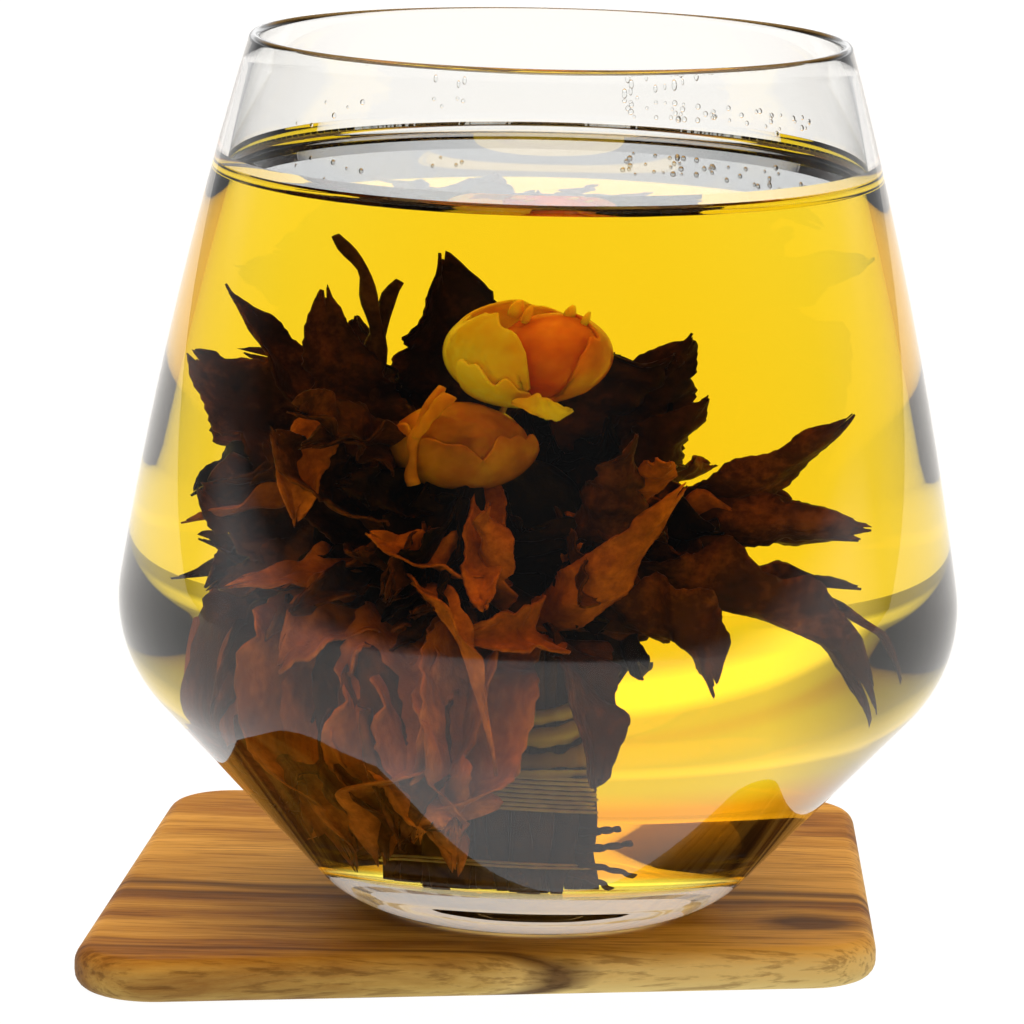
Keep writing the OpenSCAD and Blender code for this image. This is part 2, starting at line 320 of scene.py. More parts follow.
# ---------------------------------------------------------------- leaves
CROWN_LEAVES = [
    ((-11, -2, 50), (-19, -2, 58), (-20, -2, 72), 8, 80),
    ((-12, 2, 50), (-21, 2, 58), (-29, 2, 71), 6, 60),
    ((-5, 5, 52), (-8, 7, 62), (-9, 6, 75), 10, 85),
    ((4, 3, 48), (8, 3, 56), (13, 2, 67), 9, 75),
    ((-12, 7, 50), (-14, 12, 58), (-15, 14, 66), 9, 80),
    ((2, 9, 50), (4, 14, 56), (6, 17, 62), 10, 85),
    ((-3, 12, 47), (-5, 19, 54), (-6, 23, 64), 9, 80),
    ((7, -4, 47), (11, -5, 54), (15, -4, 61), 6, 60),
]
SIDE_LEAVES = [
    ((6, 0, 45), (17, -1, 46), (28, 0, 58), 6, 55),
    ((6, -2, 43), (18, -3, 47), (30, 0, 45), 6, 80),
    ((5, -1, 40), (17, -3, 40), (29, 0, 38), 5, 45),
    ((6, 2, 39), (20, 1, 41), (32, 3, 31), 4, 30),
    ((-12, 3, 46), (-23, 6, 54), (-31, 7, 62), 12, 65),
    ((-13, -6, 42), (-20, -8, 46), (-26, -6, 55), 5, 75),
    ((-13, 1, 41), (-25, 0, 44), (-31, 1, 48), 12, 65),
    ((-13, -3, 38), (-23, -6, 40), (-30, -3, 37), 8, 40),
    ((5, 6, 41), (15, 14, 44), (20, 20, 44), 9, 50),
    ((2, 9, 41), (9, 20, 45), (13, 28, 47), 9, 55),
    ((-6, 11, 41), (-9, 22, 45), (-9, 31, 52), 9, 60),
    ((-12, 8, 42), (-20, 16, 46), (-24, 21, 55), 9, 50),
    ((-13, -5, 44), (-22, -12, 50), (-27, -14, 58), 9, 60),
]
FRONT_LEAVES = [
    ((-1, -12, 36), (4, -20, 38), (14, -17, 53), 6, 65),
    ((-4, -11, 38), (-6, -20, 40), (-5, -19, 51), 6, 50),
    ((-13, -14, 41), (-11, -28, 44), (-4, -24, 27), 4, 15),
    ((-3, -12, 41), (-11, -19, 43), (-17, -18, 47), 6, 45),
    ((-17, -9, 59), (-24, -13, 57), (-24, -14, 47), 6, 20),
    ((2, -9, 44), (8, -15, 50), (9, -12, 58), 6, 70),
    ((-2, -12, 35), (3, -22, 38), (-8, -22, 36), 6, 70),
    ((-11, -8, 36), (-20, -14, 38), (-25, -14, 32), 8, 45),
]
SKIRT_LEAVES = [
    ((4, -6, 37), (18, -9, 41), (31, -3, 30), 11, 45),
    ((3, -9, 35), (13, -15, 38), (17, -15, 31), 10, 50),
    ((-11, -6, 34), (-26, -12, 37), (-23, -12, 13), 13, 35),
    ((-13, -1, 34), (-32, -2, 37), (-26, -3, 13), 12, 30),
    ((-8, -9, 34), (-17, -24, 36), (-16, -18, 11), 12, 25),
    ((-5, -9, 34), (-7, -25, 36), (-8, -20, 11), 11, 25),
    ((-9, 9, 35), (-22, 18, 37), (-20, 16, 13), 13, 35),
    ((0, 8, 38), (6, 21, 44), (9, 27, 40), 10, 35),
    ((5, 3, 38), (18, 10, 43), (26, 13, 41), 9, 35),
    ((1, -9, 34), (5, -19, 35), (6, -23, 25), 8, 25),
]


def bezier(p, t):
    return (1 - t) ** 2 * p[0] + 2 * t * (1 - t) * p[1] + t**2 * p[2]


def unit(v):
    return v / np.maximum(np.linalg.norm(v, axis=-1, keepdims=True), 1e-9)


def closed_sheet(grid, thick):
    """Vertices and faces of a closed sheet, thick metres deep, about a grid of points [rows][columns]."""
    grid = np.asarray(grid)
    rows, cols = grid.shape[:2]
    along = np.gradient(grid, axis=0)
    across = np.gradient(grid, axis=1)
    normal = np.cross(along, across)
    normal /= np.linalg.norm(normal, axis=2, keepdims=True) + 1e-12
    depth = thick / 2 if np.isscalar(thick) else np.asarray(thick)[..., None] / 2
    upper = (grid + normal * depth).reshape(-1, 3)
    lower = (grid - normal * depth).reshape(-1, 3)
    n = rows * cols
    faces = []
    for i in range(rows - 1):
        for j in range(cols - 1):
            a, b, c, d = i * cols + j, i * cols + j + 1, (i + 1) * cols + j + 1, (i + 1) * cols + j
            faces.append((a, d, c, b))
            faces.append((n + a, n + b, n + c, n + d))
    border = [j for j in range(cols)]
    border += [i * cols + cols - 1 for i in range(1, rows)]
    border += [(rows - 1) * cols + j for j in range(cols - 2, -1, -1)]
    border += [i * cols for i in range(rows - 2, 0, -1)]
    for k, a in enumerate(border):
        b = border[(k + 1) % len(border)]
        faces.append((a, b, n + b, n + a))
    return np.concatenate([upper, lower]), faces


def blade(leaf, seed, saw=0.09, ripple=0.9, curl=0.5, fold=0.35, torn=0.06, twist=0.5, rows=72, cols=17):
    """A tea leaf's grid in mm.

    It has a bent spine, a toothed, notched and rippled margin, side veins and a torn tip.
    """
    rand = np.random.default_rng(seed)
    p = np.array(leaf[:3], float)
    width, turn = leaf[3], math.radians(leaf[4])
    teeth = rand.integers(17, 26)
    ph = rand.uniform(0, 6.28, 8)
    lean, twist = rand.uniform(-0.5, 0.5), rand.uniform(-twist, twist)
    t = np.linspace(0, 1, rows)[:, None] * np.ones((1, cols))
    v = np.linspace(-1, 1, cols)[None, :] * np.ones((rows, 1))
    edge = np.abs(v)
    tear = torn * (0.5 + 0.5 * np.sin(5 * v + ph[0]) + 0.3 * np.sin(13 * v + ph[1]))
    s = (t * (1 - tear * t * t))[..., None]
    here = bezier(p, s)
    way = unit((1 - s) * (p[1] - p[0]) + s * (p[2] - p[1]))
    level = unit(np.cross(way, [0.02, 0.01, 1]))
    rise = np.cross(level, way)
    angle = (turn + twist * (t - 0.5))[..., None]
    side = level * np.cos(angle) + rise * np.sin(angle)
    face = np.cross(side, way)
    body = np.sin(math.pi * np.clip(t, 0, 1) ** 0.85)
    half = width / 2 * (0.12 + 0.92 * np.maximum(0, body) ** 0.75)
    half = half * (1 + 0.10 * np.sin(9 * t + ph[2]) * np.sign(v) + 0.07 * np.sin(17 * t + ph[3] + v))
    notch = sum(
        rand.uniform(0.12, 0.34)
        * np.exp(-(((t - rand.uniform(0.35, 0.95)) / 0.035) ** 2))
        * (np.sign(v) == margin)
        for margin in (-1, 1, rand.choice([-1, 1]))
    )
    tooth = (t * teeth + ph[4] + 0.25 * np.sin(7 * t + ph[5])) % 1.0
    jag = np.where((t > 0.12) & (t < 0.985), saw * (tooth - 0.5) * edge**5, 0)
    reach = half * v * (1 + jag - notch * edge**2)
    bend = half * (fold * edge + curl * v * v * (0.4 + 0.6 * np.sin(4.2 * t + ph[6])) * (1 + lean * v))
    wave = ripple * 0.20 * half * edge**1.5 * np.sin(teeth * 0.55 * t * 2 + ph[7] + 1.6 * v)
    wave = wave + ripple * 0.07 * half * np.sin(23 * t + 3 * v + ph[1])
    vein = 0.02 * half * np.cos(2 * math.pi * (9 * t - 1.7 * edge)) * (1 - edge**3)
    rib = 0.16 * np.exp(-((v / 0.10) ** 2)) * (1 - 0.6 * t)
    return here + side * reach[..., None] + face * (bend + wave + vein + rib)[..., None]


def place(grid):
    out = np.array(grid) * MM
    out[..., 2] += FLOOR_Z
    return out


def leaf_material(name, dark, mid, light, glow, core=0.25):
    """Wet tea leaf: blotches of brown along the blade, and painted shade towards the bloom's axis."""
    mat, tree, bsdf = material(name)
    coords = add(tree, "ShaderNodeTexCoord")
    blot = add(tree, "ShaderNodeTexNoise", Scale=140.0, Detail=6.0, Roughness=0.6)
    fine = add(tree, "ShaderNodeTexNoise", Scale=900.0, Detail=5.0, Roughness=0.65)
    tree.links.new(coords.outputs["Object"], blot.inputs["Vector"])
    tree.links.new(coords.outputs["Object"], fine.inputs["Vector"])
    colours = ramp(tree, [(0.30, dark), (0.50, mid), (0.64, light), (0.76, glow)])
    both = add(tree, "ShaderNodeMath", operation="MULTIPLY_ADD")
    both.inputs[1].default_value = 0.35
    tree.links.new(fine.outputs["Fac"], both.inputs[0])
    small = add(tree, "ShaderNodeMath", operation="MULTIPLY")
    small.inputs[1].default_value = 0.66
    tree.links.new(blot.outputs["Fac"], small.inputs[0])
    tree.links.new(small.outputs[0], both.inputs[2])
    tree.links.new(both.outputs[0], colours.inputs["Fac"])
    split = add(tree, "ShaderNodeSeparateXYZ")         # painted shade: the colour darkens towards the bloom's axis, where the mass shades the blades
    tree.links.new(coords.outputs["Object"], split.inputs[0])
    flat = add(tree, "ShaderNodeCombineXYZ")
    shift = add(tree, "ShaderNodeMath", operation="ADD")
    shift.inputs[1].default_value = 0.004
    tree.links.new(split.outputs["X"], shift.inputs[0])
    tree.links.new(shift.outputs[0], flat.inputs["X"])
    tree.links.new(split.outputs["Y"], flat.inputs["Y"])
    away = add(tree, "ShaderNodeVectorMath", operation="LENGTH")
    tree.links.new(flat.outputs[0], away.inputs[0])
    depth = add(tree, "ShaderNodeMapRange")
    # core sets how dark the painted shade is at the axis
    for key, value in (("From Min", 0.010), ("From Max", 0.026), ("To Min", core), ("To Max", 1.0)):
        depth.inputs[key].default_value = value
    tree.links.new(away.outputs["Value"], depth.inputs["Value"])
    shade = add(tree, "ShaderNodeVectorMath", operation="SCALE")
    tree.links.new(colours.outputs["Color"], shade.inputs[0])
    tree.links.new(depth.outputs[0], shade.inputs["Scale"])
    tree.links.new(shade.outputs[0], bsdf.inputs["Base Color"])
    bsdf.inputs["Roughness"].default_value = 0.38
    bsdf.inputs["IOR"].default_value = 1.10
    bump = add(tree, "ShaderNodeBump", Strength=0.45, Distance=0.0004)
    tree.links.new(fine.outputs["Fac"], bump.inputs["Height"])
    tree.links.new(bump.outputs["Normal"], bsdf.inputs["Normal"])
    return mat


LEAF = leaf_material(
    "leaf_brown", (0.010, 0.004, 0.002), (0.060, 0.019, 0.007), (0.20, 0.065, 0.018), (0.40, 0.14, 0.03)
)
# painted light: a paler, lit copy of the leaf colour, with less painted shade at the axis, for blades meant
# to look lit
LEAF_LIT = leaf_material(
    "leaf_painted_light", (0.08, 0.024, 0.006), (0.30, 0.088, 0.016), (0.58, 0.18, 0.030), (0.76, 0.28, 0.05), 0.7
)
# painted shade: a near-black copy of the leaf colour, for the heart and the blades deep in the bloom
LEAF_SHADED = leaf_material(
    "leaf_painted_shade", (0.003, 0.0015, 0.001), (0.009, 0.0035, 0.002), (0.028, 0.009, 0.004), (0.07, 0.022, 0.008)
)


def leaf_piece(name, leaf, seed, mat, slot, node=None, **shape):
    verts, faces = closed_sheet(place(blade(leaf, seed, **shape)), 0.28 * MM)
    obj = new_object(name, verts, faces)
    obj.data.materials.append(mat)
    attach(obj, "bloom")
    if node:
        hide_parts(node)
    return obj


LIT_SKIRT = (3, 5, 6, 7)                  # skirt leaves that take the lit copy of the leaf colour: painted light
DARK_FRONT = (6,)                          # front leaves that lie in the bloom's shade


def build_leaves():
    for i, leaf in enumerate(CROWN_LEAVES, 1):
        leaf_piece(f"crown_blade_{i}", leaf, 100 + i, LEAF, "leaf", f"crown_leaf_{i}")
    for i, leaf in enumerate(SIDE_LEAVES, 1):
        leaf_piece(f"side_blade_{i}", leaf, 200 + i, LEAF, "leaf", f"side_leaf_{i}")
    for i, leaf in enumerate(FRONT_LEAVES, 1):
        # front leaves outside the bloom's shade take the lit copy: painted light
        mat = LEAF if i in DARK_FRONT else LEAF_LIT
        leaf_piece(f"front_blade_{i}", leaf, 300 + i, mat, "pale_leaf", f"front_leaf_{i}", saw=0.05)
    for i, leaf in enumerate(SKIRT_LEAVES, 1):
        mat = LEAF_LIT if i in LIT_SKIRT else LEAF
        leaf_piece(f"skirt_blade_{i}", leaf, 400 + i, mat, "leaf", f"skirt_leaf_{i}")


# ---------------------------------------------------------------- stems, thread and heart
BUNDLE_X = -4 * MM
BUNDLE_R = 8.6 * MM
HEART_Z = 31 * MM


def tube(points, radii, sides=8, flat=1.0, twist=0.0):
    """Vertices and faces of a closed tube along points, flattened across by flat."""
    points = np.asarray(points, float)
    ways = np.gradient(points, axis=0)
    verts, faces = [], []
    ref = np.array([0.31, 0.93, 0.17])
    for k, (here, way) in enumerate(zip(points, ways)):
        way = unit(way)
        side = unit(np.cross(way, ref))
        up = np.cross(side, way)
        for j in range(sides):
            a = 2 * math.pi * j / sides + twist * k / len(points)
            verts.append(here + radii[k] * (side * math.cos(a) + up * math.sin(a) * flat))
    last = len(points) - 1
    for k in range(last):
        for j in range(sides):
            n = (j + 1) % sides
            faces.append((k * sides + j, k * sides + n, (k + 1) * sides + n, (k + 1) * sides + j))
    faces.append(tuple(range(sides - 1, -1, -1)))
    faces.append(tuple(last * sides + j for j in range(sides)))
    return verts, faces


def joined(name, parts, mat, body):
    verts, faces = [], []
    for v, f in parts:
        base = len(verts)
        verts += [tuple(q) for q in v]
        faces += [tuple(base + i for i in face) for face in f]
    obj = new_object(name, verts, faces)
    obj.data.materials.append(mat)
    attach(obj, body)
    return obj


def strand(x, y, low, high, r, rand, wander=0.6 * MM):
    """One upright fibre of the bundle, from height low to high above the glass's underside."""
    n = 16
    phase = rand.uniform(0, 6.28, 3)
    points, radii = [], []
    for k in range(n):
        t = k / (n - 1)
        wob = wander * math.sin(3.1 * t + phase[0]), wander * math.sin(4.3 * t + phase[1])
        points.append((x + wob[0] + BUNDLE_X, y + wob[1], FLOOR_Z + low + (high - low) * t))
        radii.append(r * (0.85 + 0.3 * math.sin(7 * t + phase[2])))
    return tube(points, radii, sides=9, flat=0.6, twist=1.5)


def build_bundle():
    pitch = BUNDLE_R * 2 / 3
    angles = [k * math.pi / 3 for k in range(6)]
    centres = [(0, 0)] + [(pitch * math.cos(a), pitch * math.sin(a)) for a in angles]
    for i, (cx, cy) in enumerate(centres, 1):
        rand = np.random.default_rng(500 + i)
        parts = []
        for _ in range(9):
            r = rand.uniform(0.7, 1.25) * MM
            a, d = rand.uniform(0, 6.28), math.sqrt(rand.uniform(0, 1)) * (pitch / 2)
            low = WELL_Z + rand.uniform(0.1, 1.6) * MM
            parts.append(strand(cx + d * math.cos(a), cy + d * math.sin(a), low, HEART_Z + 4 * MM, r, rand))
        obj = joined(f"stem_cluster_{i}", parts, STEM, "bloom")
        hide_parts(f"bundle_stem_{i}")


def coil(height, turns, r, wire):
    """A thread wound round the bundle."""
    n = 60 * turns
    points = []
    for k in range(n + 1):
        a = 2 * math.pi * k / 60
        rr = r + 0.25 * MM * math.sin(3 * a + 1) + 0.12 * MM * math.sin(7.3 * a)
        z = FLOOR_Z + height + (k / 60) * wire * 1.15 + 0.2 * MM * math.sin(2 * a)
        points.append((BUNDLE_X + rr * math.cos(a), rr * math.sin(a), z))
    return tube(points, [wire / 2 * (1 + 0.10 * math.sin(k * 1.9)) for k in range(n + 1)], sides=8)


def build_threads():
    ring = BUNDLE_R + 0.5 * MM
    upper = joined("thread_winding", [coil(22.6 * MM, 9, ring, 0.6 * MM)], THREAD, "bloom")
    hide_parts("binding_thread")
    lower = joined("thread_tie", [coil(12.6 * MM, 2, ring, 0.6 * MM)], THREAD, "bloom")
    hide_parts("stem_tie")


def lump(name, centre, radii, bumps, seed, mat, node=None, detail=5):
    """A soft uneven ball."""
    bpy.ops.mesh.primitive_ico_sphere_add(subdivisions=detail, radius=1)
    obj = bpy.context.object
    obj.name = obj.data.name = name
    off = Vector((seed * 3.7, seed * 1.3, seed * 2.1))
    for v in obj.data.vertices:
        q = v.co.copy()
        push = 1 + bumps * noise.noise(q * 1.6 + off) + bumps * 0.5 * noise.noise(q * 4.1 + off)
        v.co = Vector((
            (centre[0] + q.x * radii[0] * push) * MM,
            (centre[1] + q.y * radii[1] * push) * MM,
            (centre[2] + q.z * radii[2] * push) * MM + FLOOR_Z,
        ))
    obj.data.polygons.foreach_set("use_smooth", [True] * len(obj.data.polygons))
    obj.data.materials.append(mat)
    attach(obj, "bloom")
    if node:
        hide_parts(node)
    return obj


# ---------------------------------------------------------------- flower
def petal_material(name, deep, mid, light):
    mat, tree, bsdf = material(name)
    coords = add(tree, "ShaderNodeTexCoord")
    blot = add(tree, "ShaderNodeTexNoise", Scale=150.0, Detail=4.0, Roughness=0.5)
    tree.links.new(coords.outputs["Object"], blot.inputs["Vector"])
    colours = ramp(tree, [(0.34, deep), (0.5, mid), (0.66, light)])
    tree.links.new(blot.outputs["Fac"], colours.inputs["Fac"])
    tree.links.new(colours.outputs["Color"], bsdf.inputs["Base Color"])
    bsdf.inputs["Roughness"].default_value = 0.22
    bsdf.inputs["IOR"].default_value = 1.35
    bsdf.inputs["Subsurface Weight"].default_value = 0.7
    bsdf.inputs["Subsurface Radius"].default_value = (1.0, 0.5, 0.15)
    bsdf.inputs["Subsurface Scale"].default_value = 0.003
    bump = add(tree, "ShaderNodeBump", Strength=0.25, Distance=0.0004)
    tree.links.new(blot.outputs["Fac"], bump.inputs["Height"])
    tree.links.new(bump.outputs["Normal"], bsdf.inputs["Normal"])
    return mat


def petal_shell(centre, radii, turn, spread, reach, seed, ragged=0.12, thick=0.3, rows=34, cols=40):
    """A petal lying on a globe: it starts at the lower pole and wraps up to a ragged margin."""
    rand = np.random.default_rng(seed)
    ph = rand.uniform(0, 6.28, 5)
    grid = np.zeros((rows, cols, 3))
    for i in range(rows):
        for j in range(cols):
            v = j / (cols - 1)
            u = i / (rows - 1)
            waves = math.sin(6 * v + ph[0]) + 0.5 * math.sin(15 * v + ph[1]) + 0.35 * math.sin(31 * v + ph[2])
            edge = 1 + ragged * waves
            narrow = math.sin(math.pi * min(max(v, 0.0), 1.0)) ** 0.35
            polar = math.radians(8) + (math.radians(reach) * edge * (0.35 + 0.65 * narrow)) * u
            az = math.radians(turn + spread * (v - 0.5) * (1 + 0.04 * math.sin(9 * u + ph[3])))
            lift = 1 + 0.05 * u**4 * math.sin(5 * v + ph[4])
            grid[i, j] = (
                centre[0] + radii[0] * lift * math.sin(polar) * math.cos(az),
                centre[1] + radii[1] * lift * math.sin(polar) * math.sin(az),
                centre[2] - radii[2] * lift * math.cos(polar),
            )
    return closed_sheet(place(grid), thick * MM)


def petal_piece(name, mat, node=None, **shape):
    verts, faces = petal_shell(**shape)
    obj = new_object(name, verts, faces)
    obj.data.materials.append(mat)
    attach(obj, "bloom")
    if node:
        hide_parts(node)
    return obj


def curve_points(p, n=22, wobble=0.0):
    p = [np.array(q, float) for q in p]
    out = []
    for k in range(n):
        q = bezier(p, k / (n - 1)) * MM
        q = q + np.array([wobble * math.sin(k * 0.9), wobble * math.cos(k * 0.7), 0]) * MM
        out.append((q[0], q[1], q[2] + FLOOR_Z))
    return out


# Small tips on top of the flower: x, y, z of the tip and its radius, in mm
NUBS = ((-3.0, -8.6, 71.9, 0.75), (-2.0, -9.4, 71.4, 0.5), (1.9, -8.0, 71.3, 0.6), (3.4, -9.0, 70.8, 0.4))


def build_flower():
    globe_c = (-1.6, -7.5, 66.3)
    lump("flower_core_ball", (0.8, -7.8, 66.0), (5.4, 5.2, 4.9), 0.03, 3,
         PETAL_ORANGE, "flower_core")
    petal_piece("flower_left_petal", PETAL_YELLOW, "upper_flower", centre=globe_c, radii=(7.7, 6.8, 5.9),
                turn=200, spread=140, reach=138, seed=61, ragged=0.07)
    petal_piece("flower_back_petal", PETAL_YELLOW, centre=globe_c, radii=(7.3, 6.3, 5.6),
                turn=100, spread=190, reach=150, seed=62, ragged=0.06)
    petal_piece("flower_right_petal", PETAL_ORANGE, centre=globe_c, radii=(7.9, 6.9, 5.7),
                turn=352, spread=100, reach=128, seed=63, ragged=0.09)
    petal_piece("flower_front_petal", PETAL_YELLOW, centre=(-2.2, -7.6, 66.1), radii=(7.6, 7.1, 5.9),
                turn=245, spread=100, reach=66, seed=64, ragged=0.22)
    lump("lower_flower_ball", (-7.6, -9.2, 56.0), (6.3, 5.4, 4.7), 0.06, 5,
         PETAL_BROWN, "lower_flower")
    petal_piece("lower_flower_petal", PETAL_BROWN, centre=(-7.6, -9.2, 55.9), radii=(6.8, 6.1, 5.1),
                turn=230, spread=150, reach=105, seed=65, ragged=0.08)
    petal_piece("lower_flower_side_petal", PETAL_BROWN, centre=(-7.4, -9.0, 56.0), radii=(6.9, 6.2, 5.2),
                turn=330, spread=110, reach=95, seed=66, ragged=0.10)
    torn = ((-3, -13.8, 61.7), (0, -15.4, 60.2), (2.8, -13.8, 61), 3.0, 60)
    leaf_grid_piece("flower_torn_petal", torn, 71, PETAL_YELLOW, "flower_petal")
    stalk = joined("flower_curved_stalk", [
        tube(curve_points([(-9.6, -12.6, 63), (-13.4, -15, 58), (-12.2, -14, 52)], wobble=0.12),
             [(0.42 + 0.14 * math.sin(k * 0.7) + 0.01 * k) * MM for k in range(22)], sides=10, flat=0.7),
        tube(curve_points([(-9.0, -13.4, 62.2), (-11.0, -15.2, 60.2), (-12.2, -15, 57.4)], wobble=0.08),
             [(0.85 - 0.02 * k) * MM for k in range(22)], sides=10, flat=0.35),
    ], PETAL_BROWN, "bloom")
    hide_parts("flower_stalk")
    thread = joined("flower_string", [
        tube(curve_points([(-5, -6, 49), (-5.4, -8, 58), (-1.6, -8, 64)]), [0.3 * MM] * 22)
    ], THREAD, "bloom")
    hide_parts("flower_thread")
    nubs = []
    for x, y, z, r in NUBS:
        points = [((x + 0.15 * k) * MM, y * MM, (z - 1.4 + 0.4 * k) * MM + FLOOR_Z) for k in range(6)]
        nubs.append(tube(points, [r * MM * w for w in (0.7, 0.9, 1.0, 0.95, 0.7, 0.3)], sides=10))
    joined("flower_tips", nubs, PETAL_YELLOW, "bloom")


def leaf_grid_piece(name, leaf, seed, mat, node):
    grid = blade(leaf, seed, saw=0.05, ripple=0.6, torn=0.05, rows=30, cols=13)
    verts, faces = closed_sheet(place(grid), 0.3 * MM)
    obj = new_object(name, verts, faces)
    obj.data.materials.append(mat)
    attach(obj, "bloom")
    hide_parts(node)


PETAL_YELLOW = petal_material("petal_yellow", (0.92, 0.42, 0.03), (0.98, 0.62, 0.08), (1.0, 0.82, 0.30))
PETAL_ORANGE = petal_material("petal_orange", (0.56, 0.11, 0.008), (0.74, 0.20, 0.015), (0.88, 0.33, 0.04))
PETAL_BROWN = petal_material("petal_brown", (0.22, 0.07, 0.014), (0.42, 0.155, 0.03), (0.60, 0.28, 0.06))
# the stems stand near the axis, so the leaf material's painted shade darkens them too
STEM = leaf_material(
    "stem_brown", (0.03, 0.012, 0.006), (0.11, 0.045, 0.018), (0.24, 0.11, 0.04), (0.36, 0.18, 0.07)
)
THREAD = petal_material("thread_cotton", (0.16, 0.11, 0.07), (0.27, 0.20, 0.13), (0.40, 0.31, 0.22))

LOOSE_STEMS = [
    ((-16, -1, 52), (-13, -2, 72), (-19, -1, 78)),
    ((-14, 0, 52), (-17, -1, 64), (-13, -1, 73)),
]


# Root ends at the foot of the bundle: x, y, z of the start, then how far each runs along x and z, in mm
ROOT_BITS = [
    (4.0, -3, 17, 5.0, 0.8),
    (4.0, -4, 14, 5.5, -3.0),
    (3.5, -6, 12, 4.0, -3.8),
    (4.2, -2, 20, 3.6, 0.3),
    (-12, -4, 15, -4.0, -3),
    (-2, -8, 12, 1.5, -3.5),
]


def build_loose():
    for i, p in enumerate(LOOSE_STEMS, 1):
        radii = [(1.0 - 0.02 * k + 0.15 * math.sin(k * 1.1)) * MM for k in range(22)]
        stalk = tube(curve_points(p, wobble=0.2), radii, sides=10, flat=0.6)
        obj = joined(f"loose_stalk_{i}", [stalk], STEM, "bloom")
        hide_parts(f"loose_stem_{i}")
    twigs = []
    radii = [(0.75 - 0.015 * k + 0.12 * math.sin(k)) * MM for k in range(22)]
    for x, y, z, dx, dz in ROOT_BITS:
        p = [(x, y, z), (x + dx * 0.5, y - 1, z + dz * 0.2), (x + dx, y - 1.5, z + dz)]
        twigs.append(tube(curve_points(p, wobble=0.15), radii, flat=0.6))
    joined("root_bits", twigs, STEM, "bloom")


def build_inner_leaves(count=40):
    """Small crumpled blades pressed round the heart."""
    rand = np.random.default_rng(7)
    for k in range(count):
        a = 2.39996 * k + rand.uniform(-0.2, 0.2)
        z = 34 + 20 * ((k * 0.618) % 1)
        out = np.array([math.cos(a), math.sin(a), 0])
        root = np.array([-3, 0, z]) + out * 5
        mid = root + out * rand.uniform(5, 8) + np.array([0, 0, rand.uniform(-2, 6)])
        tip = mid + out * rand.uniform(2, 6) + np.array([0, 0, rand.uniform(-5, 8)])
        leaf = (root, mid, tip, rand.uniform(7, 11), rand.uniform(10, 80))
        # two in three of these blades take the shaded copy of the leaf colour: painted shade
        mat = LEAF_SHADED if k % 3 else LEAF
        leaf_piece(f"inner_blade_{k + 1}", leaf, 600 + k, mat, "dark_leaf", ripple=1.6, curl=0.9, torn=0.1,
                   rows=40, cols=13)


REACH_R = 32.4                             # the bloom's leaves stay within this radius, in mm


def kept_in(point):
    """The point, drawn in towards the axis so that it stays inside the bloom's space."""
    limit = min(REACH_R, 22 + 1.5 * max(0.0, point[2] - 8), 32.4 - 0.35 * max(0.0, point[2] - 64))
    r = math.hypot(point[0], point[1])
    if r > limit:
        point = np.array([point[0] * limit / r, point[1] * limit / r, point[2]])
    return point


def build_wild_leaves(count=64):
    """Small curled blades between the large ones, thicker on the left, where the bloom leans on the glass."""
    rand = np.random.default_rng(23)
    for k in range(count):
        left = k % 3 != 0
        a = math.radians(rand.uniform(110, 265) if left else rand.uniform(-75, 110))
        out = np.array([math.cos(a), math.sin(a), 0])
        z = rand.uniform(33, 56) if left else rand.uniform(35, 50)
        root = np.array([-4, 0, z]) + out * rand.uniform(7, 12)
        span = rand.uniform(9, 19) if left else rand.uniform(6, 13)
        lift = rand.uniform(-7, 10) if left else rand.uniform(-3, 8)
        mid = root + out * span * 0.55 + np.array([rand.uniform(-3, 3), rand.uniform(-3, 3), lift * 0.4 + 2])
        tip = root + out * span + np.array([rand.uniform(-4, 4), rand.uniform(-4, 4), lift])
        if tip[1] < 0 and tip[2] > 46 and -17 < tip[0] < 10:
            tip[2] = mid[2] = 40                # keep clear of the flower
        leaf = (kept_in(root), kept_in(mid), kept_in(tip), rand.uniform(3.5, 7.5), rand.uniform(-20, 85))
        # the small blades mix lit and shaded copies of the leaf colour: painted light and painted shade
        mat = (LEAF, LEAF_SHADED, LEAF, LEAF_LIT)[k % 4] if k % 8 != 3 else LEAF
        leaf_piece(f"wild_blade_{k + 1}", leaf, 700 + k, mat, "leaf", ripple=1.3, curl=rand.uniform(0.4, 1.6),
                   torn=0.12, twist=1.4, rows=44, cols=13)


def build_hanging_leaves(count=20):
    """Long blades that hang from the heart to the glass floor on the left and behind."""
    rand = np.random.default_rng(31)
    for k in range(count):
        a = math.radians(118 + 150 * ((k * 0.618) % 1))
        out = np.array([math.cos(a), math.sin(a), 0])
        root = np.array([-4, 0, rand.uniform(30, 38)]) + out * 8
        mid = root * [1, 1, 0] + out * rand.uniform(14, 20) + np.array([0, 0, rand.uniform(28, 38)])
        low = rand.uniform(9, 17)
        tip = out * rand.uniform(17, 26) + np.array([-4, 0, low])
        leaf = (kept_in(root), kept_in(mid), kept_in(tip), rand.uniform(7, 12), rand.uniform(5, 50))
        # every other hanging blade takes the lit copy of the leaf colour: painted light
        leaf_piece(f"hanging_blade_{k + 1}", leaf, 800 + k, LEAF if k % 2 else LEAF_LIT, "leaf", ripple=1.2,
                   torn=0.12, twist=0.9, rows=48, cols=13)


# ---------------------------------------------------------------- coaster
CORNERS = [(-43.5, -26), (31.5, -13), (32, 51), (-37, 48)]     # centres of the four rounded corners
CORNER_R = 9 * MM
EDGE_ROUND = 2 * MM


